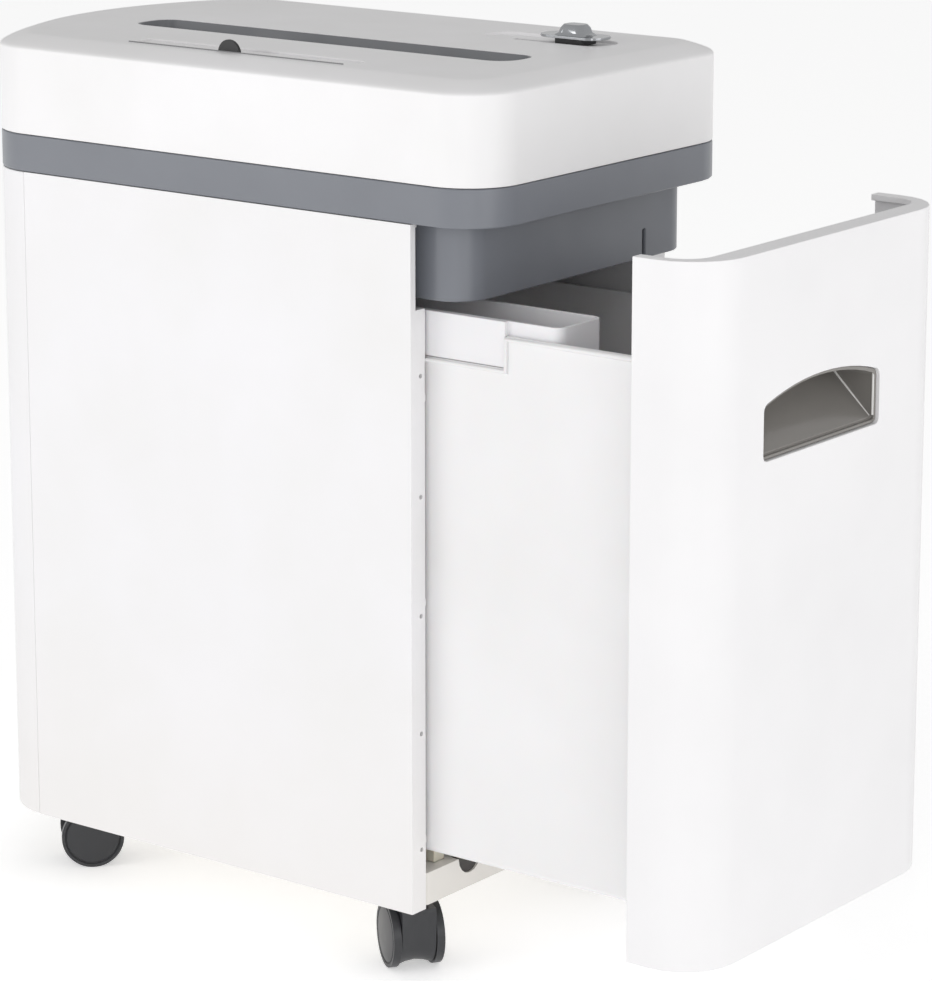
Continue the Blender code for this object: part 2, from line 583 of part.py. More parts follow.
def build_drive():
    """Motor, pinion and the gears that carry its turn to all four cutter shafts."""
    shaft_bore = SHAFT_R * 0.9 + 0.0001
    t = TEETH
    phase_a = 0.0
    phase_b = mesh_phase(A, t["cutter"], phase_a, B, t["cutter"])
    phase_idler = mesh_phase(B, t["cutter"], phase_b, IDLER, t["idler"])
    phase_pinion = mesh_phase(IDLER, t["idler"], phase_idler, MOTOR, t["pinion"])
    phase_cd_idler = mesh_phase(A, t["cutter"], phase_a, CD_IDLER, t["cd_idler"])
    phase_cd_b = mesh_phase(CD_IDLER, t["cd_idler"], phase_cd_idler, CD_B, t["cd"])
    phase_cd_a = mesh_phase(CD_B, t["cd"], phase_cd_b, CD_A, t["cd"])
    gear("cutter_gear_a", A, t["cutter"], phase_a, shaft_bore, STEEL)
    gear("cutter_gear_b", B, t["cutter"], phase_b, shaft_bore, STEEL)
    gear("idler_gear", IDLER, t["idler"], phase_idler, 0.0026)
    gear("cd_idler_gear", CD_IDLER, t["cd_idler"], phase_cd_idler, 0.0026)
    for name, centre, phase in (("cd_shaft_a", CD_A, phase_cd_a), ("cd_shaft_b", CD_B, phase_cd_b)):
        teeth = slab("teeth", gear_outline(*centre, t["cd"], phase), GEAR_Y0, GEAR_Y1, STEEL)
        fuse(bpy.data.objects[name], teeth)
    pinion = slab("motor_pinion", gear_outline(*MOTOR, t["pinion"], phase_pinion), GEAR_Y0, GEAR_Y1, STEEL)
    fuse(pinion, rod("shaft", 0.0020, (MOTOR[0], 0.1500, MOTOR[1]), (MOTOR[0], GEAR_Y1 + 0.001, MOTOR[1]), STEEL,
                     sides=12))
    for name, (x, z) in (("idler_pin", IDLER), ("cd_idler_pin", CD_IDLER)):
        rod(name, 0.0025, (x, PLATE_REAR_Y + 0.0001, z), (x, GEAR_Y1 + 0.0015, z), STEEL, sides=16)

    motor = rod("motor", 0.0250, (MOTOR[0], 0.0720, MOTOR[1]), (MOTOR[0], PLATE_REAR_Y - GAP, MOTOR[1]), STEEL,
                sides=28)
    cut(motor, cut_rod(0.0022, (MOTOR[0], 0.1485, MOTOR[1]), (MOTOR[0], 0.18, MOTOR[1]), 12))


def build_electrics():
    """Circuit board with its big components, the paper sensor lever and the drawer interlock switch."""
    board_z = POD_Z + SHELL + 0.0060
    box("circuit_board", (0.0300, -0.0600, board_z), (0.0850, 0.0500, board_z + 0.0016), BOARD)
    top = board_z + 0.0016 + GAP
    shell = bpy.data.objects["lower_shell"]
    for x in (0.0340, 0.0810):
        for y in (-0.0560, 0.0460):
            fuse(shell, rod("post", 0.0030, (x, y, POD_Z + SHELL - 0.001), (x, y, board_z - GAP), BAND_GREY, sides=12))
    rod("capacitor", 0.0110, (0.0660, -0.0050, top + 0.0110), (0.0660, 0.0380, top + 0.0110), BLACK)
    eye_y, eye_z = -0.0720, POD_Z + 0.0205
    switch = box("interlock_switch", (0.0455, -0.0640, top), (0.0575, -0.0440, top + 0.0140), BLACK)
    for x in (0.0455, 0.0553):
        fuse(switch, box("ear", (x, eye_y - 0.0022, eye_z - 0.0030), (x + 0.0022, -0.0635, eye_z + 0.0030), BLACK))
    cut(switch, cut_rod(0.0012, (0.044, eye_y, eye_z), (0.059, eye_y, eye_z), 10))
    lever = box("interlock_lever", (0.0500, eye_y - 0.0007, POD_Z + 0.0040), (0.0530, eye_y + 0.0007, eye_z), STEEL)
    fuse(lever, rod("trunnion", 0.0011, (0.0458, eye_y, eye_z), (0.0572, eye_y, eye_z), STEEL, sides=12))

    pivot_x, pivot_z = CUT_X + 0.0140, 0.3800
    lever = box("paper_sensor_lever", (CUT_X - 0.0020, SLOT_Y - 0.0010, pivot_z - 0.0009),
                (pivot_x, SLOT_Y + 0.0010, pivot_z + 0.0009), BLACK)
    fuse(lever, rod("trunnion", 0.0011, (pivot_x, SLOT_Y - 0.0070, pivot_z), (pivot_x, SLOT_Y + 0.0070, pivot_z),
                    BLACK, sides=12))
    optics = box("paper_sensor", (pivot_x - 0.0045, SLOT_Y - 0.0075, pivot_z - 0.0040),
                 (pivot_x + 0.0090, SLOT_Y + 0.0075, pivot_z + 0.0060), BLACK)
    cut(optics, cut_box((pivot_x - 0.0060, SLOT_Y - 0.0016, pivot_z - 0.0060),
                        (pivot_x + 0.0040, SLOT_Y + 0.0016, pivot_z + 0.0080)))
    cut(optics, cut_rod(0.0013, (pivot_x, SLOT_Y - 0.0090, pivot_z), (pivot_x, SLOT_Y + 0.0090, pivot_z), 10))


# ---------------------------------------------------------------- drawer
def build_bin():
    """Waste bin: thin wall, low rim at the rear, where the CD tray hangs on the left wall."""
    middle = (BIN_Y0 + BIN_Y1) / 2
    depth = BIN_Y1 - BIN_Y0
    outer = rounded(0.0, middle, 2 * BIN_HALF, depth, 0.014, 5)
    inner = rounded(0.0, middle, 2 * (BIN_HALF - BIN_WALL), depth - 2 * BIN_WALL, 0.012, 5)
    rings = [level(inner, BIN_Z0 + BIN_WALL), level(inner, BIN_RIM), level(outer, BIN_RIM), level(outer, BIN_Z0)]
    waste = loft("waste_bin", rings, WHITE)
    cut(waste, cut_box((-0.12, BIN_STEP_Y, BIN_LOW_RIM), (0.12, BIN_Y1 + 0.01, BIN_RIM + 0.01)))
    for x in (-0.060, 0.060):
        cut(waste, cut_rod(0.0022, (x, BIN_Y0 - 0.004, SCREW_Z), (x, BIN_Y0 + 0.006, SCREW_Z), 12))

    low, high = 0.2700, 0.3244
    x0, x1, y0, y1 = -0.0875, -0.0540, -0.1400, 0.0080
    mid_x, mid_y = (x0 + x1) / 2, (y0 + y1) / 2
    outer = rounded(mid_x, mid_y, x1 - x0, y1 - y0, 0.005, 4)
    inner = rounded(mid_x, mid_y, x1 - x0 - 0.0032, y1 - y0 - 0.0032, 0.0034, 4)
    tray = loft("cd_tray", [level(inner, low + 0.0016), level(inner, high), level(outer, high), level(outer, low)],
                WHITE)
    fuse(tray, box("hook", (-BIN_HALF, BIN_STEP_Y + 0.0008, BIN_LOW_RIM + GAP), (x0 + 0.0010, y1 - 0.006, high), WHITE))


def door_outline(inset):
    """U-shaped plan of the drawer front: front face, two round corners and the straight wraps."""
    half, radius = HALF_W - inset, FRONT_R - inset
    y0 = DOOR_Y + inset
    rear = DOOR_Y + DOOR_WRAP
    points = [(half, rear)]
    points += arc(half - radius, y0 + radius, radius, 0, -90, 6)
    points += arc(-half + radius, y0 + radius, radius, -90, -180, 6)
    points.append((-half, rear))
    return points


def handle_outline(grow):
    """Recess outline in (x, z): flat bottom, straight ends, arched top with rounded ends."""
    left, right = HANDLE_X - HANDLE_W / 2 - grow, HANDLE_X + HANDLE_W / 2 + grow
    z0, side_z, top = HANDLE_Z0 - grow, HANDLE_SIDE_Z + grow, HANDLE_Z1 + grow
    half = (right - left) / 2
    rise = top - side_z
    radius = (half ** 2 + rise ** 2) / (2 * rise)
    corner, fillet = 0.003 + grow, HANDLE_FILLET + grow
    lift = math.sqrt((radius - fillet) ** 2 - (half - fillet) ** 2)
    joint = math.degrees(math.atan2(lift, half - fillet))
    fillet_z = top - radius + lift
    points = arc(left + corner, z0 + corner, corner, 180, 270, 4)
    points += arc(right - corner, z0 + corner, corner, 270, 360, 4)
    points += arc(right - fillet, fillet_z, fillet, 0, joint, 3)
    points += arc(HANDLE_X, top - radius, radius, joint, 180 - joint, 12)[1:-1]
    points += arc(left + fillet, fillet_z, fillet, 180 - joint, 180, 3)
    return points


def sloping_block(back):
    """Everything behind the cup's sloping back, moved back by a distance."""
    foot, head = DOOR_Y + 0.0036 + back, DOOR_Y + HANDLE_DEPTH + back
    low, high = HANDLE_Z0 + 0.0030, HANDLE_KNEE_Z
    side = [(foot, low - 0.02), (foot, low), (head, high), (head + 0.02, high), (head + 0.02, low - 0.02)]
    rings = [[(x, y, z) for y, z in side] for x in (HANDLE_X - HANDLE_W, HANDLE_X + HANDLE_W)]
    return loft("block", rings, collection=CUTTERS)


def build_door():
    """Drawer front with its top ledge, the handle cup let into it, screws and the interlock key."""
    door = prism("drawer_front", door_outline(0.0) + door_outline(DOOR_T)[::-1], DOOR_Z0, DOOR_Z1, WHITE)
    ledge_in = door_outline(DOOR_T - 0.0005)
    half = HALF_W - 0.0065
    inner = [(half, DOOR_Y + DOOR_WRAP)] + arc(half - 0.014, DOOR_Y + DOOR_LEDGE + 0.014, 0.014, 0, -90, 6)
    inner += arc(-half + 0.014, DOOR_Y + DOOR_LEDGE + 0.014, 0.014, -90, -180, 6) + [(-half, DOOR_Y + DOOR_WRAP)]
    fuse(door, prism("ledge", ledge_in + inner[::-1], DOOR_Z1 - 0.003, DOOR_Z1, WHITE))
    cut(door, slab("cut", handle_outline(0.0), DOOR_Y - 0.01, DOOR_Y + 0.01, collection=CUTTERS))
    for x in (-0.060, 0.060):
        for z in (0.110, SCREW_Z):
            fuse(door, rod("boss", 0.005, (x, DOOR_Y + DOOR_T - 0.001, z), (x, BIN_Y0 - GAP, z), WHITE, sides=14))
        cut(door, cut_rod(0.0022, (x, BIN_Y0 - 0.012, SCREW_Z), (x, BIN_Y0 + 0.001, SCREW_Z), 12))

    for name, x in (("drawer_screw_left", -0.060), ("drawer_screw_right", 0.060)):
        inside = BIN_Y0 + BIN_WALL + GAP
        screw = rod(name, 0.0040, (x, inside, SCREW_Z), (x, inside + 0.0022, SCREW_Z), STEEL, sides=14)
        fuse(screw, rod("shank", 0.0019, (x, BIN_Y0 - 0.010, SCREW_Z), (x, inside + 0.001, SCREW_Z), STEEL, sides=10))

    cup_y = DOOR_Y + HANDLE_DEPTH
    fit = -GAP
    cup = slab("handle_cup", handle_outline(fit), DOOR_Y + 0.0018, cup_y + 0.0015, DARK_GREY)
    hollow = slab("hollow", handle_outline(fit - 0.0015), DOOR_Y - 0.01, cup_y, collection=CUTTERS)
    cut(hollow, sloping_block(0.0))
    cut(cup, hollow, sloping_block(0.0020))

    key_x = 0.0515
    key_y = DOOR_Y + DOOR_LEDGE + 0.0220
    low, high = POD_Z + SHELL + 0.0007, POD_Z + 0.0125
    key = box("interlock_key", (key_x - 0.0006, BIN_Y0 - 0.0120, low), (key_x + 0.0006, key_y, high), BLACK)
    fuse(key, box("foot", (key_x - 0.006, DOOR_Y + DOOR_T + GAP, low), (key_x + 0.006, BIN_Y0 - 0.0110, high), BLACK))


# ---------------------------------------------------------------- casters
def build_caster(name, x, y, trailing):
    """A hooded twin-wheel caster: a hood with its stem and axle, and two wheels that trail behind the stem."""
    angle = math.radians(trailing)
    place = Matrix.Translation((x, y, 0.0)) @ Matrix.Rotation(angle, 4, "Z")
    top = BASE_Z - 0.0006
    saddle = ((-1.0, 0.0), (-0.55, 0.0012), (0.0, 0.0018), (0.55, 0.0012), (1.0, 0.0))
    shoulder = [(0.0030, 0.0322), (-0.0070, 0.0322), (-0.0078, 0.0300)]
    rings = []
    for share, sink in saddle:
        radius = WHEEL_R - 0.0010 - sink
        ring = arc(TRAIL, WHEEL_R, radius, 60, 95, 4) + shoulder + arc(TRAIL, WHEEL_R, radius, 185, 300, 8)
        rings.append([(u, share * HOOD_HALF, z) for u, z in ring])
    hood = loft("caster_hood_" + name, rings, BLACK)
    fuse(hood, rod("flange", CASTER_BOSS, (0, 0, 0.0310), (0, 0, top), BLACK, sides=20))
    fuse(hood, rod("stem", 0.0040, (0, 0, 0.0300), (0, 0, DECK_Z - 0.0042), STEEL, sides=16))
    reach = HOOD_HALF + GAP + WHEEL_T
    fuse(hood, rod("axle", 0.0020, (TRAIL, -reach + 0.002, WHEEL_R), (TRAIL, reach - 0.002, WHEEL_R), STEEL, sides=12))
    hood.data.transform(place)
    rim = WHEEL_R / math.cos(math.pi / WHEEL_SIDES)
    for side, tag in ((-1, "inner"), (1, "outer")):
        near, far = side * (HOOD_HALF + GAP), side * reach
        profile = [(rim - 0.0006, near), (rim, near + side * 0.0006), (rim, far - side * 0.0022),
                   (rim - 0.0012, far - side * 0.0008), (0.0110, far), (0.0021, far)]
        spin = [2 * math.pi * (i + 0.5) / WHEEL_SIDES for i in range(WHEEL_SIDES)]
        rings = [[(TRAIL + r * math.cos(a), v, WHEEL_R + r * math.sin(a)) for a in spin] for r, v in profile]
        wheel = loft("caster_wheel_%s_%s" % (name, tag), rings, BLACK)
        hole_end = far - side * 0.0015
        cut(wheel, cut_rod(0.0021, (TRAIL, near - side * 0.002, WHEEL_R), (TRAIL, hole_end, WHEEL_R), 12))
        wheel.data.transform(place)
    return hood


build_cabinet()
build_head()
build_shafts()
build_frame()
build_drive()
build_electrics()
build_bin()
build_door()
for caster_name, (stem_x, stem_y, yaw) in CASTERS.items():
    build_caster(caster_name, stem_x, stem_y, yaw)
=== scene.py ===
"""A white office shredder on casters, its waste drawer pulled out: the finish and mouldings of every part."""
import json
import math

import bpy
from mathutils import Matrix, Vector

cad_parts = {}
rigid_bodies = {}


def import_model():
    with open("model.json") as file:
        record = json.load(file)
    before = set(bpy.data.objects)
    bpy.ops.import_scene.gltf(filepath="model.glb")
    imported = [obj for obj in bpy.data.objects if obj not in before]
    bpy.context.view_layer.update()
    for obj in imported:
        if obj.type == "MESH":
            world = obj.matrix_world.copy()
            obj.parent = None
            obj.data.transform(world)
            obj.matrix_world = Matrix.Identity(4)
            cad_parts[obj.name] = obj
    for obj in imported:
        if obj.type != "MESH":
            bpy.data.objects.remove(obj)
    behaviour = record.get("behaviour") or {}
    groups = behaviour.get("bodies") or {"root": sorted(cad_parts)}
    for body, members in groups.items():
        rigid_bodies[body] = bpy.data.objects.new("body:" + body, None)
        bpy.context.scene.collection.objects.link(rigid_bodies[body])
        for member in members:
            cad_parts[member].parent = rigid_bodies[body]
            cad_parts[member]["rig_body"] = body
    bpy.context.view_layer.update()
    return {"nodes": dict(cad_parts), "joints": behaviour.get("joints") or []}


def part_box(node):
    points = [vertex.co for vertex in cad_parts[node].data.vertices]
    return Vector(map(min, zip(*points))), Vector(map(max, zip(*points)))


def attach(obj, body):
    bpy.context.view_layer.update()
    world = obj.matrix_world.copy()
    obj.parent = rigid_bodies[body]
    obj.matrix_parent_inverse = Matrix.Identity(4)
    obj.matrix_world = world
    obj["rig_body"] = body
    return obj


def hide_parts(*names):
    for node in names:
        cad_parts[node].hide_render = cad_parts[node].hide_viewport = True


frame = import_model()

# ---------------------------------------------------------------- floor, lights and camera
# A plain pale floor and a white sky that is dimmer overhead, so upright walls read brighter than the top.
# Two wide soft lights stand on the left and in front, and a narrow one draws the corner highlights.


def linear(colour):
    """An sRGB hex colour as linear red, green, blue and alpha."""
    parts = [int(colour[i:i + 2], 16) / 255 for i in (0, 2, 4)]
    return [v / 12.92 if v <= 0.04045 else ((v + 0.055) / 1.055) ** 2.4 for v in parts] + [1.0]


def add(tree, kind, links=(), **settings):
    """Add a node: settings name its properties or its inputs, links are (input, source node, output)."""
    made = tree.nodes.new(kind)
    for key, value in settings.items():
        if hasattr(made, key):
            setattr(made, key, value)
        else:
            made.inputs[key.replace("_", " ")].default_value = value
    for socket, source, output in links:
        tree.links.new(source.outputs[output], made.inputs[socket])
    return made


FLOOR_SIZE, FLOOR_GLOW = 30.0, 0.42
bpy.ops.object.select_all(action="DESELECT")
bpy.ops.mesh.primitive_plane_add(size=FLOOR_SIZE, location=(0, 0, 0))
floor = bpy.context.object
floor.name = "floor"
# Matt white board: it scatters all light, and a little glow of its own keeps the ground white.
paper_floor = bpy.data.materials.new("matt_white_floor")
paper_floor.use_nodes = True
shader = paper_floor.node_tree.nodes["Principled BSDF"]
shader.inputs["Base Color"].default_value = linear("f4f4f4")
shader.inputs["Roughness"].default_value = 0.9
shader.inputs["Specular IOR Level"].default_value = 0.1
shader.inputs["Emission Color"].default_value = linear("ffffff")
shader.inputs["Emission Strength"].default_value = FLOOR_GLOW
floor.data.materials.append(paper_floor)

SKY_TOP, SKY_SIDE, SKY_TURN = 0.55, 0.61, 0.8
world = bpy.data.worlds.new("white_studio")
bpy.context.scene.world = world
world.use_nodes = True
sky = world.node_tree
way = add(sky, "ShaderNodeTexCoord")
height = add(sky, "ShaderNodeSeparateXYZ", [(0, way, "Generated")])
fall = add(sky, "ShaderNodeMapRange", [("Value", height, "Z")], From_Min=0.0, From_Max=SKY_TURN,
           To_Min=SKY_SIDE, To_Max=SKY_TOP)
back = sky.nodes["Background"]
back.inputs["Color"].default_value = linear("ffffff")
sky.links.new(fall.outputs["Result"], back.inputs["Strength"])

# Each light: its name, where it stands, what it aims at, its width and height in metres, and its watts.
LIGHTS = (("window_left", (-1.9, 1.3, 0.75), (0.0, 0.0, 0.25), 1.3, 1.1, 9.6),
          ("window_front", (-0.5, -2.4, 0.70), (0.0, 0.0, 0.25), 1.6, 1.2, 10.0),
          ("strip_front", (-1.9, -1.25, 0.9), (-0.05, -0.05, 0.3), 0.25, 1.2, 5.0))
for name, place, aim, wide, tall, power in LIGHTS:
    lamp = bpy.data.lights.new(name, "AREA")
    lamp.shape = "RECTANGLE"
    lamp.size = wide
    lamp.size_y = tall
    lamp.energy = power
    holder = bpy.data.objects.new(name, lamp)
    holder.location = place
    holder.rotation_euler = (Vector(aim) - Vector(place)).to_track_quat("-Z", "Y").to_euler()
    bpy.context.scene.collection.objects.link(holder)

CAMERA_AT = (-1.4480, -1.1206, 0.6756)
CAMERA_DOWN, CAMERA_TURN = 12.593, 52.770
SENSOR_MM, LENS_MM, LENS_SHIFT = 36.0, 147.98, -0.1186
lens = bpy.data.cameras.new("camera")
lens.sensor_fit = "HORIZONTAL"
lens.sensor_width = SENSOR_MM
lens.lens = LENS_MM
lens.shift_y = LENS_SHIFT
lens.clip_start = 0.1
lens.clip_end = 60.0
camera = bpy.data.objects.new("camera", lens)
camera.location = CAMERA_AT
camera.rotation_euler = (math.radians(90 - CAMERA_DOWN), 0, math.radians(-CAMERA_TURN))
bpy.context.scene.collection.objects.link(camera)
bpy.context.scene.camera = camera
bpy.context.scene.view_settings.view_transform = "Standard"

# ---------------------------------------------------------------- side panels
# Two hollow injection-moulded ABS panels, snapped to the base and the head. Each has a strip down its front
# edge with five small holes, three small catches and a longer lip, where the drawer front closes against it.
PLASTIC_IOR = 1.53
FLOW_SCALE, TOUCH_SCALE = 9.0, 38.0  # patches of tint about 110 mm across, and of gloss about 26 mm
# Real spark-eroded grain is about 0.1 mm across. It is drawn 0.4 to 0.7 mm across, so that it shows.
GRAIN_DEPTH = 0.00008
GLOW_DEPTH = 0.002
# The tint that darkens the lowest parts, and the heights where it starts and where it is full.
BOTTOM_TINT, BOTTOM_TINT_TOP, BOTTOM_TINT_FOOT = "e6e0d6", 0.16, 0.03


def moulded(name, colour, tint, rough, grain=0.7, bump=0.10, soft=0.0, bottom_tint=0.0):
    """Injection-moulded plastic: fine spark-eroded grain in millimetres, faint flow tint and uneven gloss."""
    material = bpy.data.materials.new(name)
    material.use_nodes = True
    tree = material.node_tree
    skin = tree.nodes["Principled BSDF"]
    skin.inputs["IOR"].default_value = PLASTIC_IOR
    skin.inputs["Subsurface Weight"].default_value = soft
    skin.inputs["Subsurface Scale"].default_value = GLOW_DEPTH
    place = add(tree, "ShaderNodeTexCoord")
    flow = add(tree, "ShaderNodeTexNoise", [("Vector", place, "Object")], Scale=FLOW_SCALE, Detail=3.0,
               Roughness=0.6)
    share = add(tree, "ShaderNodeMapRange", [("Value", flow, "Fac")], From_Min=0.35, From_Max=0.70)
    colours = add(tree, "ShaderNodeMix", [("Factor", share, "Result")], data_type="RGBA")
    colours.inputs["A"].default_value = linear(colour)
    colours.inputs["B"].default_value = linear(tint)
    last = colours
    # A warmer, darker tint towards the bottom, fading out higher up.
    if bottom_tint:
        axes = add(tree, "ShaderNodeSeparateXYZ", [("Vector", place, "Object")])
        low = add(tree, "ShaderNodeMapRange", [("Value", axes, "Z")], From_Min=BOTTOM_TINT_TOP, From_Max=BOTTOM_TINT_FOOT,
                  To_Max=bottom_tint)
        last = add(tree, "ShaderNodeMix", [("Factor", low, "Result"), ("A", colours, "Result")],
                   data_type="RGBA")
        last.inputs["B"].default_value = linear(BOTTOM_TINT)
    tree.links.new(last.outputs["Result"], skin.inputs["Base Color"])
    handled = add(tree, "ShaderNodeTexNoise", [("Vector", place, "Object")], Scale=TOUCH_SCALE, Detail=4.0)
    gloss = add(tree, "ShaderNodeMapRange", [("Value", handled, "Fac")], From_Min=0.3, From_Max=0.7,
                To_Min=rough - 0.05, To_Max=rough + 0.06)
    tree.links.new(gloss.outputs["Result"], skin.inputs["Roughness"])
    spark = add(tree, "ShaderNodeTexNoise", [("Vector", place, "Object")], Scale=1000.0 / grain, Detail=2.0)
    relief = add(tree, "ShaderNodeBump", [("Height", spark, "Fac")], Strength=bump, Distance=GRAIN_DEPTH)
    tree.links.new(relief.outputs["Normal"], skin.inputs["Normal"])
    return material


def choose(obj):
    """Make one object the only selected and the active one."""
    bpy.ops.object.select_all(action="DESELECT")
    obj.select_set(True)
    bpy.context.view_layer.objects.active = obj


def apply_all(obj):
    """Apply every modifier of an object, in order."""
    choose(obj)
    for modifier in list(obj.modifiers):
        bpy.ops.object.modifier_apply(modifier=modifier.name)


def round_edges(obj, edge, steps=2, crease=32):
    """Round the hard edges as a mould leaves them, and shade the rest smooth."""
    bevel = obj.modifiers.new("rounded", "BEVEL")
    bevel.width = edge
    bevel.segments = steps
    bevel.limit_method = "ANGLE"
    bevel.angle_limit = math.radians(crease)
    bevel.use_clamp_overlap = True
    bevel.miter_outer = "MITER_ARC"
    apply_all(obj)
    bpy.ops.object.shade_smooth_by_angle(angle=math.radians(crease))
    weigh = obj.modifiers.new("flat_faces", "WEIGHTED_NORMAL")
    weigh.keep_sharp = True
    apply_all(obj)


def fit(obj, name, material, body, slot, *nodes):
    """Place a finished piece: its name, finish, the body it rides on and the nodes it stands for."""
    choose(obj)
    bpy.ops.object.transform_apply(location=True, rotation=True, scale=True)
    obj.name = name
    obj.data.materials.clear()
    obj.data.materials.append(material)
    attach(obj, body)
    if nodes:
        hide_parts(*nodes)
    return obj


def soften(node, material, slot, edge=0.0004, steps=2, foot=0.0):
    """A copy of a node with its triangles merged and its edges rounded, which stands for the node.

    A foot rounds the outline of its underside more, as the bottom of a deep moulding is.
    """
    source = frame["nodes"][node]
    copy = bpy.data.objects.new(node + "_skin", source.data.copy())
    bpy.context.scene.collection.objects.link(copy)
    choose(copy)
    bpy.ops.object.mode_set(mode="EDIT")
    bpy.ops.mesh.select_mode(type="EDGE")
    bpy.ops.mesh.select_all(action="SELECT")
    bpy.ops.mesh.remove_doubles(threshold=0.00001)
    bpy.ops.mesh.dissolve_limited(angle_limit=math.radians(1.0))
    if foot:
        bpy.ops.mesh.select_all(action="DESELECT")
        bpy.ops.object.mode_set(mode="OBJECT")
        lowest = min(vertex.co.z for vertex in copy.data.vertices)
        for line in copy.data.edges:
            line.select = all(copy.data.vertices[v].co.z < lowest + 0.0001 for v in line.vertices)
        bpy.ops.object.mode_set(mode="EDIT")
        bpy.ops.mesh.bevel(offset=foot, segments=5)
    bpy.ops.object.mode_set(mode="OBJECT")
    round_edges(copy, edge, steps)
    return fit(copy, node + "_skin", material, source["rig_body"], slot, node)


def small_block(centre, size, edge, steps=3):
    """A small moulded block with rounded edges."""
    bpy.ops.object.select_all(action="DESELECT")
    bpy.ops.mesh.primitive_cube_add(size=1.0, location=centre)
    block = bpy.context.object
    block.scale = size
    bpy.ops.object.transform_apply(location=False, rotation=False, scale=True)
    round_edges(block, edge, steps)
    return block


# White ABS with a light spark-eroded texture: a soft sheen, and a warmer, darker tint on its lowest part.
white_abs = moulded("white_abs_moulded", "f0eff1", "ecebeb", rough=0.40, bottom_tint=0.25)
for side in ("left", "right"):
    soften("side_panel_" + side, white_abs, "white_plastic", edge=0.0006, steps=3)

# Three catches and the lip: middle height, width, and how tall each is.
CATCHES = ((0.0697, 0.0018, 0.0036), (0.1858, 0.0018, 0.0036), (0.2834, 0.0018, 0.0036),
           (0.3125, 0.00144, 0.0250))
CATCH_THICK, CATCH_EDGE, CATCH_ASIDE, CATCH_BACK = 0.0016, 0.0004, 0.0001, 0.0002
for side, panel in ((-1, "left"), (1, "right")):
    low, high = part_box("side_panel_" + panel)
    inner = (high.x if side < 0 else low.x) - side * CATCH_ASIDE
    front = low.y + CATCH_THICK / 2 + CATCH_BACK
    for number, (z, wide, tall) in enumerate(CATCHES):
        catch = small_block((inner, front, z), (wide, CATCH_THICK, tall), CATCH_EDGE)
        fit(catch, "strip_catch_%s_%d" % (panel, number), white_abs, "cabinet", "white_plastic")

# ---------------------------------------------------------------- back panel
# One curved ABS moulding that wraps round the rear. It is snapped to the base and the head, and meets both
# side panels in a fine upright joint.
soften("back_panel", white_abs, "white_plastic", edge=0.0006, steps=3)

# ---------------------------------------------------------------- base, drawer runners and bumpers
# A ribbed ABS tray with a caster socket in each corner, which the panels snap on to. Two nylon rails are
# screwed to it for the bin to slide on, and two rubber discs in its front edge stop the drawer.

# Unpolished ABS, a shade greyer than the panels, with more of the warmer, darker tint near the floor.
base_abs = moulded("white_abs_base", "e6e4e0", "dedbd6", rough=0.46, bottom_tint=0.3)
# Unfilled nylon: cream coloured, slightly see-through and waxy.
natural_nylon = moulded("natural_nylon_runner", "dcd8c8", "d2cdbb", rough=0.5, soft=0.1)
soften("base", base_abs, "white_plastic", edge=0.0005)
for side in ("left", "right"):
    soften("runner_" + side, natural_nylon, "nylon", edge=0.0004)

# Black rubber: dull, with a fine skin.
bumper_rubber = moulded("black_rubber_bumper", "3b3734", "34302e", rough=0.6, grain=0.4)
BUMPER_X, BUMPER_RADIUS, BUMPER_DEPTH, BUMPER_EDGE = 0.0575, 0.0085, 0.0045, 0.0006
BUMPER_BACK, BUMPER_DROP = 0.0008, 0.0004
low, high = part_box("base")
for sign, side in ((-1, "left"), (1, "right")):
    bpy.ops.object.select_all(action="DESELECT")
    bpy.ops.mesh.primitive_cylinder_add(
        vertices=40, radius=BUMPER_RADIUS, depth=BUMPER_DEPTH, rotation=(math.radians(90), 0, 0),
        location=(sign * BUMPER_X, low.y + BUMPER_BACK + BUMPER_DEPTH / 2, high.z - BUMPER_DROP))
    bumper = bpy.context.object
    round_edges(bumper, BUMPER_EDGE, steps=3)
    fit(bumper, "drawer_bumper_" + side, bumper_rubber, "cabinet", "black_plastic")

# ---------------------------------------------------------------- head cover
# The white ABS top, moulded in one: straight walls, a soft shoulder and a flat deck with the paper slot, the
# disc recess and the switch pocket. It snaps over the lower shell.

# Finely textured white ABS: smoother than the panels, so the shoulder takes a soft highlight.
cover_abs = moulded("white_abs_cover", "f3f2f3", "eeeded", rough=0.36)
HALF_WIDTH, FRONT_Y, BACK_Y = 0.1025, -0.107, 0.229
FRONT_RADIUS, REAR_RADIUS, BACK_RADIUS = 0.028, 0.034, 0.155
COVER_WALL, DECK_WALL, COVER_EDGE = 0.0025, 0.0032, 0.0004
# The shoulder outside, and the ceiling inside, as steps of (inwards, upwards).
SHOULDER = ((0.0003, 0.0007), (0.0007, 0.0007), (0.0014, 0.0007), (0.0026, 0.0010), (0.0036, 0.0012),
            (0.0036, 0.0011), (0.0020, 0.0004), (0.0018, 0.0001))
CEILING = ((0.0100, 0.0028), (0.0060, 0.0008))
OPEN_BELOW = 0.01
DISC_X, DISC_Y = -0.0748, 0.0545
SWITCH_X, SWITCH_Y = 0.049, -0.0495
POCKET_Y = SWITCH_Y + 0.015
CUTTER_TALL = 0.02
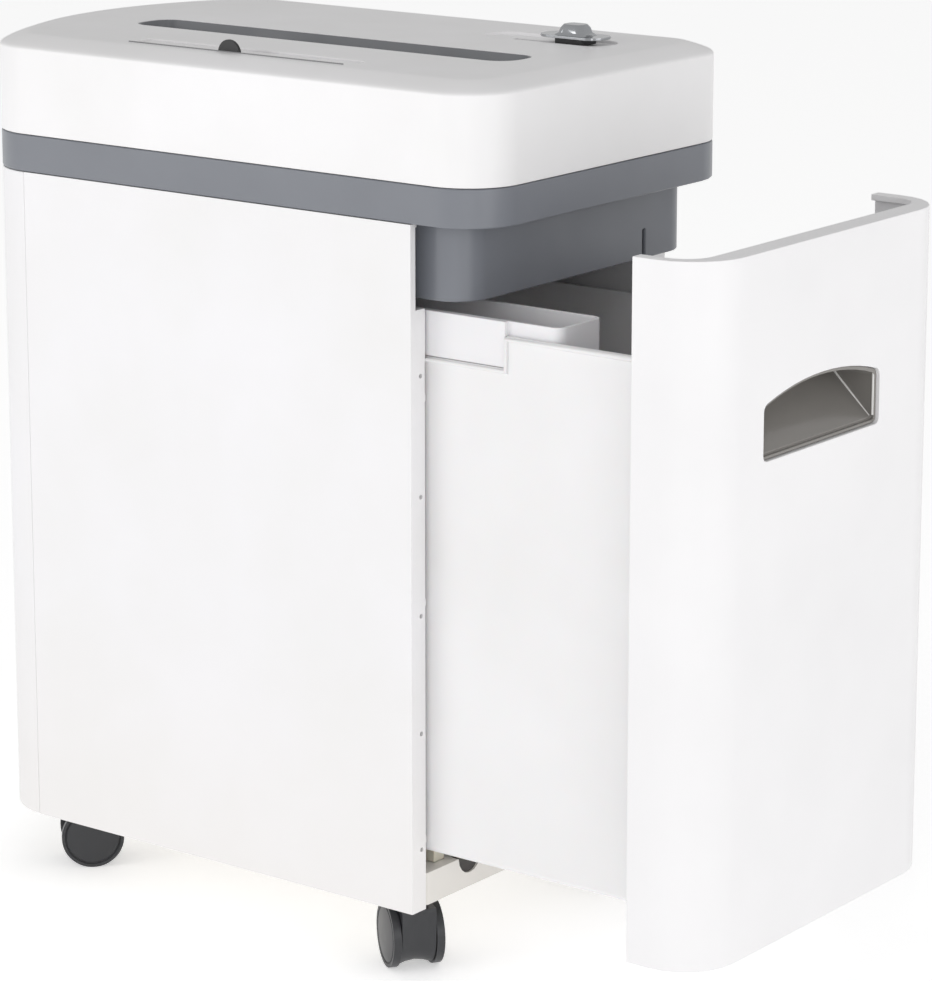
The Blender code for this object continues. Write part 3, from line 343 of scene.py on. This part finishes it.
# Openings in the deck: middle x and y, width, length, corner radius and its steps, and depth, where 0 goes
# right through.
OPENINGS = ((-0.017, 0.0505, 0.0280, 0.2350, 0.0115, 10, 0.0),  # paper slot
            (DISC_X, DISC_Y, 0.0158, 0.1346, 0.0015, 4, 0.0022),  # disc recess
            (DISC_X, DISC_Y, 0.0084, 0.1270, 0.0, 0, 0.0),  # disc slot
            (SWITCH_X, POCKET_Y, 0.0230, 0.0740, 0.0110, 10, 0.0016),  # switch pocket
            (SWITCH_X, POCKET_Y, 0.0050, 0.0440, 0.0, 0, 0.0))  # slit for the switch's stem
INLET_Y, INLET_Z, INLET_HOLE = BACK_Y - 0.002, 0.406, (0.029, 0.012, 0.023)


def arc(cx, cy, radius, start, end, steps):
    """Points along an arc in plan, angles in degrees."""
    turns = [math.radians(start + (end - start) * i / steps) for i in range(steps + 1)]
    return [(cx + radius * math.cos(a), cy + radius * math.sin(a)) for a in turns]


def head_plan(inset):
    """The head's outline moved inwards: round front and rear corners, and one long arc at the back."""
    reach = HALF_WIDTH - REAR_RADIUS
    rise = math.sqrt((BACK_RADIUS - REAR_RADIUS) ** 2 - reach ** 2)
    joint = math.degrees(math.atan2(rise, reach))
    centre = BACK_Y - BACK_RADIUS
    side, front = HALF_WIDTH - FRONT_RADIUS, FRONT_Y + FRONT_RADIUS
    points = arc(side, front, FRONT_RADIUS - inset, -90, 0, 16)
    points += arc(reach, centre + rise, REAR_RADIUS - inset, 0, joint, 12)
    points += arc(0.0, centre, BACK_RADIUS - inset, joint, 180 - joint, 40)[1:-1]
    points += arc(-reach, centre + rise, REAR_RADIUS - inset, 180 - joint, 180, 12)
    points += arc(-side, front, FRONT_RADIUS - inset, 180, 270, 16)
    return points


def head_block(inset, bottom, ceiling, steps):
    """A closed block with the head's outline, whose top narrows in steps of (inwards, upwards)."""
    outline = head_plan(inset)
    bpy.ops.object.select_all(action="DESELECT")
    bpy.ops.mesh.primitive_circle_add(vertices=len(outline), fill_type="NGON", location=(0, 0, 0))
    block = bpy.context.object
    for corner, (x, y) in zip(block.data.vertices, outline):
        corner.co = (x, y, bottom)
    bpy.ops.object.mode_set(mode="EDIT")
    bpy.ops.mesh.select_mode(type="FACE")
    bpy.ops.mesh.select_all(action="SELECT")
    straight = ceiling - bottom - sum(upwards for inwards, upwards in steps)
    bpy.ops.mesh.extrude_region_move(TRANSFORM_OT_translate={"value": (0, 0, straight)})
    for inwards, upwards in steps:
        bpy.ops.mesh.inset(thickness=inwards, depth=upwards, use_even_offset=True)
    bpy.ops.mesh.select_all(action="SELECT")
    bpy.ops.mesh.normals_make_consistent(inside=False)
    bpy.ops.object.mode_set(mode="OBJECT")
    return block


def subtract(obj, tool):
    """Cut one solid out of another and drop the tool."""
    difference = obj.modifiers.new("cut_out", "BOOLEAN")
    difference.operation = "DIFFERENCE"
    difference.solver = "EXACT"
    difference.object = tool
    apply_all(obj)
    bpy.data.objects.remove(tool, do_unlink=True)


def cut_out(obj, centre, size, radius=0.0, steps=0):
    """Cut a box, its upright edges rounded to a radius, out of a piece."""
    bpy.ops.object.select_all(action="DESELECT")
    bpy.ops.mesh.primitive_cube_add(size=1.0, location=centre)
    tool = bpy.context.object
    tool.scale = size
    bpy.ops.object.transform_apply(location=True, rotation=False, scale=True)
    if radius:
        bpy.ops.object.mode_set(mode="EDIT")
        bpy.ops.mesh.select_mode(type="EDGE")
        bpy.ops.mesh.select_all(action="DESELECT")
        bpy.ops.object.mode_set(mode="OBJECT")
        for line in tool.data.edges:
            first, second = (tool.data.vertices[v].co for v in line.vertices)
            line.select = abs(first.x - second.x) + abs(first.y - second.y) < 1e-6
        bpy.ops.object.mode_set(mode="EDIT")
        bpy.ops.mesh.bevel(offset=radius, segments=steps)
        bpy.ops.object.mode_set(mode="OBJECT")
    subtract(obj, tool)


seam, top = (corner.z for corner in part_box("head_cover"))
cover = head_block(0.0, seam, top, SHOULDER)
subtract(cover, head_block(COVER_WALL, seam - OPEN_BELOW, top - DECK_WALL, CEILING))
for x, y, wide, long, radius, steps, depth in OPENINGS:
    middle = top - depth + CUTTER_TALL / 2 if depth else top
    cut_out(cover, (x, y, middle), (wide, long, CUTTER_TALL), radius, steps)
cut_out(cover, (0.0, INLET_Y, INLET_Z), INLET_HOLE)
round_edges(cover, COVER_EDGE, steps=3, crease=38)
fit(cover, "head_cover_moulding", cover_abs, "cabinet", "white_plastic", "head_cover")

# ---------------------------------------------------------------- lower shell
# The grey ABS band under the cover and the cutter housing that hangs from it, in one moulding. It carries the
# cutter block, and the cover snaps over its upper edge.

# Satin ABS in a cool mid grey: low grain, so the front corner shows one clear upright highlight.
grey_abs = moulded("grey_abs_satin", "7c7f86", "75787f", rough=0.33, bump=0.06)
soften("lower_shell", grey_abs, "grey_plastic", edge=0.0008, steps=3)

# ---------------------------------------------------------------- paper funnel and disc chute
# Grey ABS guides under the two slots, narrowing from the deck down to the cutters. Both are clipped to the
# underside of the head cover.

# ABS with a fine texture: a soft grey that stays readable in the depth of the slot.
funnel_abs = moulded("dark_grey_abs", "77797d", "707276", rough=0.36)
soften("feed_chute", funnel_abs, "dark_plastic", edge=0.0003)
soften("cd_chute", funnel_abs, "dark_plastic", edge=0.0002)

# ---------------------------------------------------------------- disc flap, finger tab and painted shadow line
# A thin white ABS flap on a moulded hinge closes the disc slot. The black half-round tab clipped to its near
# edge lifts it. A thin grey strip along the recess is painted shadow, standing in for the shade at its edge.

# Black ABS: deep and slightly satin, as small clipped-in parts are.
black_abs = moulded("black_abs", "1d1d1f", "242426", rough=0.42)
soften("cd_flap", cover_abs, "white_plastic", edge=0.0002)
soften("cd_flap_tab", black_abs, "black_plastic", edge=0.0003)

# Painted shadow: a dull grey strip that reads as the thin shade line beside the flap.
shadow_line_grey = moulded("painted_shadow_line_grey", "8e8e90", "868688", rough=0.6, grain=0.4)
SHADOW_LINE, SHADOW_LINE_ASIDE, SHADOW_LINE_DROP, SHADOW_LINE_EDGE = (0.0006, 0.1330, 0.0016), 0.0079, 0.0003, 0.0002
# Painted shadow: a thin grey strip along the near edge of the disc recess.
shadow_line = small_block((DISC_X - SHADOW_LINE_ASIDE, DISC_Y, top - SHADOW_LINE_DROP), SHADOW_LINE, SHADOW_LINE_EDGE, steps=2)
fit(shadow_line, "disc_slot_shadow_line", shadow_line_grey, "cabinet", "grey_plastic")

# ---------------------------------------------------------------- power switch
# A chromed slider with a tall knob rides in the pocket. A black block under it is painted shade, standing in
# for the shadow beneath the knob. The slider's stem reaches a three-way slide switch screwed under the deck.
HAZE_DEPTH = 0.00005


def plated(name, colour, rough, haze_mm):
    """Bright plated plastic: near-mirror, with faint polishing haze a few millimetres across."""
    material = bpy.data.materials.new(name)
    material.use_nodes = True
    tree = material.node_tree
    skin = tree.nodes["Principled BSDF"]
    skin.inputs["Metallic"].default_value = 1.0
    skin.inputs["Base Color"].default_value = linear(colour)
    place = add(tree, "ShaderNodeTexCoord")
    haze = add(tree, "ShaderNodeTexNoise", [("Vector", place, "Object")], Scale=1000.0 / haze_mm, Detail=4.0)
    gloss = add(tree, "ShaderNodeMapRange", [("Value", haze, "Fac")], From_Min=0.3, From_Max=0.75,
                To_Min=rough, To_Max=rough + 0.10)
    tree.links.new(gloss.outputs["Result"], skin.inputs["Roughness"])
    relief = add(tree, "ShaderNodeBump", [("Height", haze, "Fac")], Strength=0.04, Distance=HAZE_DEPTH)
    tree.links.new(relief.outputs["Normal"], skin.inputs["Normal"])
    return material


# Chrome over ABS: it mirrors the white room, with dark streaks where it faces the slot.
chrome_plate = plated("chromed_abs", "b4b6b9", rough=0.08, haze_mm=6.0)
soften("switch_slider", chrome_plate, "chrome", edge=0.0004, steps=3)

# A black block under the slider: painted shade, standing in for the shadow beneath the knob.
KNOB_SHADE_BLOCK, KNOB_SHADE_EDGE, KNOB_SHADE_RISE = (0.0120, 0.0165, 0.0034), 0.0005, 0.0004
knob_shade_block = small_block((SWITCH_X, SWITCH_Y, top + KNOB_SHADE_RISE), KNOB_SHADE_BLOCK, KNOB_SHADE_EDGE)
fit(knob_shade_block, "switch_painted_shade", black_abs, "switch", "black_plastic")
soften("slide_switch", black_abs, "black_plastic", edge=0.0003)

# ---------------------------------------------------------------- mains inlet
# A black thermoplastic socket with three pins. It is pushed into the hole in the back of the cover and held
# by its own spring tongues.
soften("power_inlet", black_abs, "black_plastic", edge=0.0003)

# ---------------------------------------------------------------- cutter block
# Turned steel shafts with hardened discs run in nylon bearing blocks between pressed steel end plates.
# Steel combs strip the shreds from the discs, and two tie bars hold the plates apart.
STAIN, STAIN_SCALE = "8f8c88", 45.0  # stains about 22 mm across
LINE_DEPTH = 0.00005


def turned_steel(name, colour, rough, stretch, line_mm):
    """Machined or rolled steel: fine tool lines drawn out along one axis, with slight staining."""
    material = bpy.data.materials.new(name)
    material.use_nodes = True
    tree = material.node_tree
    skin = tree.nodes["Principled BSDF"]
    skin.inputs["Metallic"].default_value = 1.0
    place = add(tree, "ShaderNodeTexCoord")
    along = add(tree, "ShaderNodeMapping", [("Vector", place, "Object")], Scale=stretch)
    lines = add(tree, "ShaderNodeTexNoise", [("Vector", along, "Vector")], Scale=1000.0 / line_mm, Detail=3.0)
    stain = add(tree, "ShaderNodeTexNoise", [("Vector", place, "Object")], Scale=STAIN_SCALE, Detail=5.0)
    colours = add(tree, "ShaderNodeMix", [("Factor", stain, "Fac")], data_type="RGBA")
    colours.inputs["A"].default_value = linear(colour)
    colours.inputs["B"].default_value = linear(STAIN)
    tree.links.new(colours.outputs["Result"], skin.inputs["Base Color"])
    gloss = add(tree, "ShaderNodeMapRange", [("Value", lines, "Fac")], To_Min=rough - 0.06,
                To_Max=rough + 0.14)
    tree.links.new(gloss.outputs["Result"], skin.inputs["Roughness"])
    relief = add(tree, "ShaderNodeBump", [("Height", lines, "Fac")], Strength=0.15, Distance=LINE_DEPTH)
    tree.links.new(relief.outputs["Normal"], skin.inputs["Normal"])
    return material


# Turned bar: bright grey with tool lines along the shaft, drawn 0.8 mm apart so that they show.
shaft_steel = turned_steel("turned_shaft_steel", "b9b8b6", rough=0.30, stretch=(1.0, 0.08, 1.0), line_mm=0.8)
# Zinc-plated sheet: paler, with rolling lines that run upright.
plate_steel = turned_steel("zinc_plated_sheet", "c3c4c4", rough=0.34, stretch=(1.0, 1.0, 0.1), line_mm=1.2)
for node in ("cutter_shaft_a", "cutter_shaft_b", "cd_shaft_a", "cd_shaft_b"):
    soften(node, shaft_steel, "steel", edge=0.0002, steps=1)
for node in ("end_plate_front", "end_plate_rear", "stripper_comb_a", "stripper_comb_b"):
    soften(node, plate_steel, "steel", edge=0.0002, steps=1)
for node in ("tie_bar_left", "tie_bar_right"):
    soften(node, shaft_steel, "steel", edge=0.0003)
for end in ("front", "rear"):
    soften("bearing_block_" + end, natural_nylon, "nylon", edge=0.0003)

# ---------------------------------------------------------------- gear train and motor
# Steel cutter gears and nylon idlers carry the motor's turn to all four shafts. The idlers turn on pins
# riveted to the rear end plate, and the motor is screwed to it.

# Moulded nylon: creamier than the runners, and a little glossier where teeth have rubbed.
gear_nylon = moulded("natural_nylon_gear", "e2dcc6", "d8d1b8", rough=0.44, soft=0.1)
for node in ("cutter_gear_a", "cutter_gear_b", "motor_pinion", "idler_pin", "cd_idler_pin"):
    soften(node, shaft_steel, "steel", edge=0.0001, steps=1)
for node in ("idler_gear", "cd_idler_gear"):
    soften(node, gear_nylon, "nylon", edge=0.0001, steps=1)
soften("motor", plate_steel, "steel", edge=0.0010, steps=3)

# ---------------------------------------------------------------- circuit board, switch and sensor
# A fibreglass board on four posts carries the motor's capacitor. The drawer switch is screwed to the housing
# with its sprung lever, and the paper sensor's lever crosses the throat under the slot.
TRACK_SCALE = 110.0  # tracks about 8 mm long and 2.3 mm wide
TRACK_RISE = 0.00006


def laminate(name):
    """Green solder mask over copper tracks: a fine rectangular pattern under a semi-gloss lacquer."""
    material = bpy.data.materials.new(name)
    material.use_nodes = True
    tree = material.node_tree
    skin = tree.nodes["Principled BSDF"]
    skin.inputs["Roughness"].default_value = 0.32
    place = add(tree, "ShaderNodeTexCoord")
    tracks = add(tree, "ShaderNodeTexBrick", [("Vector", place, "Object")], Scale=TRACK_SCALE,
                 Mortar_Size=0.03, Brick_Width=0.9, Row_Height=0.25)
    tracks.inputs["Color1"].default_value = linear("1f5a34")
    tracks.inputs["Color2"].default_value = linear("2b6b3f")
    tracks.inputs["Mortar"].default_value = linear("5d8f5a")
    tree.links.new(tracks.outputs["Color"], skin.inputs["Base Color"])
    relief = add(tree, "ShaderNodeBump", [("Height", tracks, "Fac")], Strength=0.2, Distance=TRACK_RISE)
    tree.links.new(relief.outputs["Normal"], skin.inputs["Normal"])
    return material


# Lacquered fibreglass: dark green with paler lines between the tracks.
soften("circuit_board", laminate("green_fibreglass"), "board", edge=0.0002, steps=1)
for node in ("capacitor", "interlock_switch", "paper_sensor", "paper_sensor_lever"):
    soften(node, black_abs, "black_plastic", edge=0.0003)
soften("interlock_lever", plate_steel, "steel", edge=0.0002, steps=1)

# ---------------------------------------------------------------- waste bin
# A thin-walled polypropylene bin, moulded in one with a rounded foot. Its rim steps down where the disc tray
# hangs and ends in a rolled bead.
BIN_CORNER, BIN_FOOT, BEAD = 0.014, 0.0030, 0.0014
BIN_STEP_Y, BIN_STEP, BIN_LOW_RIM = -0.1115, 0.0002, 0.3028

# Polypropylene: neutral white, waxy, with light bleeding a little way into thin walls.
bin_pp = moulded("white_polypropylene_bin", "eeedee", "e9e8e8", rough=0.42, soft=0.05)
soften("waste_bin", bin_pp, "white_plastic", foot=BIN_FOOT)


def bead(name, points, radius, material, slot, closed=True):
    """A round bead on the drawer that follows points: a rolled rim, or a painted highlight line."""
    line = bpy.data.curves.new(name, "CURVE")
    line.dimensions = "3D"
    line.bevel_depth = radius
    line.bevel_resolution = 3
    line.use_fill_caps = True
    spline = line.splines.new("POLY")
    spline.points.add(len(points) - 1)
    for point, place in zip(spline.points, points):
        point.co = (*place, 1.0)
    spline.use_cyclic_u = closed
    holder = bpy.data.objects.new(name, line)
    bpy.context.scene.collection.objects.link(holder)
    choose(holder)
    bpy.ops.object.convert(target="MESH")
    made = bpy.context.object
    bpy.ops.object.shade_smooth()
    return fit(made, name, material, "drawer", slot)


low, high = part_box("waste_bin")
left, right = low.x + BIN_CORNER, high.x - BIN_CORNER
near, far = low.y + BIN_CORNER, high.y - BIN_CORNER
ring = arc(right, near, BIN_CORNER, -90, 0, 8)
ring += [(high.x, BIN_STEP_Y - BIN_STEP), (high.x, BIN_STEP_Y)]
ring += arc(right, far, BIN_CORNER, 0, 90, 8)
ring += arc(left, far, BIN_CORNER, 90, 180, 8)
ring += [(low.x, BIN_STEP_Y), (low.x, BIN_STEP_Y - BIN_STEP)]
ring += arc(left, near, BIN_CORNER, 180, 270, 8)
rim = [(x, y, (BIN_LOW_RIM if y > BIN_STEP_Y - BIN_STEP / 2 else high.z) - BEAD) for x, y in ring]
bead("bin_rim_bead", rim, BEAD, bin_pp, "white_plastic")

# ---------------------------------------------------------------- disc tray
# A small moulded tray that catches shards of discs. Its long hook hangs over the bin's left wall, so it lifts
# off without a tool.

# The bin's polypropylene in a brighter white.
tray_pp = moulded("white_polypropylene_tray", "efeef0", "e9e8ea", rough=0.44, soft=0.05)
soften("cd_tray", tray_pp, "white_plastic")

# ---------------------------------------------------------------- drawer front
# A white ABS front that wraps round both sides, with a narrow ledge along its top. Two zinc-plated screws
# hold it to the bin, and a black key on its back works the drawer switch.

# The same texture as the head cover in a slightly duller white.
front_abs = moulded("white_abs_front", "f1f0f1", "edeced", rough=0.38)
soften("drawer_front", front_abs, "white_plastic", edge=0.0010, steps=3)
for side in ("left", "right"):
    soften("drawer_screw_" + side, plate_steel, "steel", edge=0.0003)
soften("interlock_key", black_abs, "black_plastic", edge=0.0003)

# ---------------------------------------------------------------- handle cup
# A grey ABS cup with an arched mouth, snapped into the drawer front from behind. Its back wall slopes in from
# the sill. Near-white beads up both side walls and along their front edges are painted highlights.

# Polished ABS in a warm grey: the only glossy moulding, so it shows soft reflections.
cup_abs = moulded("grey_abs_gloss", "85827e", "7d7a76", rough=0.14, bump=0.02)
soften("handle_cup", cup_abs, "dark_plastic", edge=0.0012, steps=4)

# Painted highlight: the cup's polished ABS in near white, on thin beads where crease and edges catch light.
cup_highlight_abs = moulded("grey_abs_painted_highlight", "e2e1de", "d9d8d5", rough=0.16, bump=0.02)
CUP_FOOT, CUP_DEPTH, CUP_KNEE, CUP_WALL, CUP_BACKSET = 0.0036, 0.0240, 0.0190, 0.0019, 0.0018
HIGHLIGHT_BEAD, HIGHLIGHT_SUNK, ARCH_DROP, SILL = 0.0006, 0.0004, 0.0085, 0.0027
EDGE_HIGHLIGHT_BACK, EDGE_HIGHLIGHT_SILL = 0.0008, 0.0035
low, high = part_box("handle_cup")
front, deep = low.y - CUP_BACKSET + CUP_FOOT + HIGHLIGHT_BEAD, low.y - CUP_BACKSET + CUP_DEPTH - HIGHLIGHT_SUNK
sill, arch, edge_highlight_y = low.z + SILL, high.z - ARCH_DROP, low.y + EDGE_HIGHLIGHT_BACK
# Painted highlights: a near-white bead along each side wall's crease, and one up each front edge.
for side, wall, out in (("left", low.x + CUP_WALL, -HIGHLIGHT_SUNK), ("right", high.x - CUP_WALL, HIGHLIGHT_SUNK)):
    bead("cup_crease_highlight_" + side, [(wall, front, sill), (wall, deep, sill + CUP_KNEE), (wall, deep, arch)],
         HIGHLIGHT_BEAD, cup_highlight_abs, "dark_plastic", False)
    bead("cup_edge_highlight_" + side, [(wall + out, edge_highlight_y, low.z + EDGE_HIGHLIGHT_SILL), (wall + out, edge_highlight_y, arch)],
         HIGHLIGHT_BEAD, cup_highlight_abs, "dark_plastic", False)

# ---------------------------------------------------------------- casters
# Twin-wheel furniture casters. A glass-filled nylon hood swivels on its steel stem, pushed into the base, and
# two wheels with a raised rim and a low dome turn on the axle through it.

# Glass-filled nylon: off-black and satin, with a slightly coarser skin than ABS.
caster_nylon = moulded("black_nylon_caster", "2f3033", "292a2d", rough=0.38, grain=0.5)
WHEEL_RADIUS, WHEEL_THICK, WHEEL_EDGE = 0.0160, 0.0040, 0.0005
# The wheel's outer face as steps of (inwards, upwards): rim, groove and dome.
WHEEL_FACE = ((0.0006, -0.0001), (0.0009, 0.0), (0.0004, -0.0006), (0.0004, 0.0), (0.0003, 0.0006),
              (0.0030, 0.0004), (0.0040, 0.0002), (0.0030, 0.0001))

bpy.ops.object.select_all(action="DESELECT")
bpy.ops.mesh.primitive_cylinder_add(vertices=64, radius=WHEEL_RADIUS, depth=WHEEL_THICK, location=(0, 0, 0))
wheel = bpy.context.object
bpy.ops.object.mode_set(mode="EDIT")
bpy.ops.mesh.select_mode(type="FACE")
bpy.ops.mesh.select_all(action="DESELECT")
bpy.ops.object.mode_set(mode="OBJECT")
for face in wheel.data.polygons:
    face.select = face.normal.z > 0.9
bpy.ops.object.mode_set(mode="EDIT")
for inwards, upwards in WHEEL_FACE:
    bpy.ops.mesh.inset(thickness=inwards, depth=upwards)
bpy.ops.object.mode_set(mode="OBJECT")
round_edges(wheel, WHEEL_EDGE, steps=3, crease=40)

for joint in frame["joints"]:
    if joint["name"].startswith("roll_"):
        corner = joint["name"][len("roll_"):]
        axle = Vector(joint["axis"]).normalized()
        outward = axle if corner.endswith("outer") else -axle
        copy = wheel.copy()
        copy.data = wheel.data.copy()
        bpy.context.scene.collection.objects.link(copy)
        copy.rotation_euler = outward.to_track_quat("Z", "Y").to_euler()
        copy.location = Vector(joint["pos_m"])
        fit(copy, "wheel_" + corner, caster_nylon, joint["child"], "caster_black", "caster_wheel_" + corner)
bpy.data.objects.remove(wheel, do_unlink=True)
for corner in ("front_left", "front_right", "back_left", "back_right"):
    soften("caster_hood_" + corner, caster_nylon, "caster_black", edge=0.0006, steps=3)
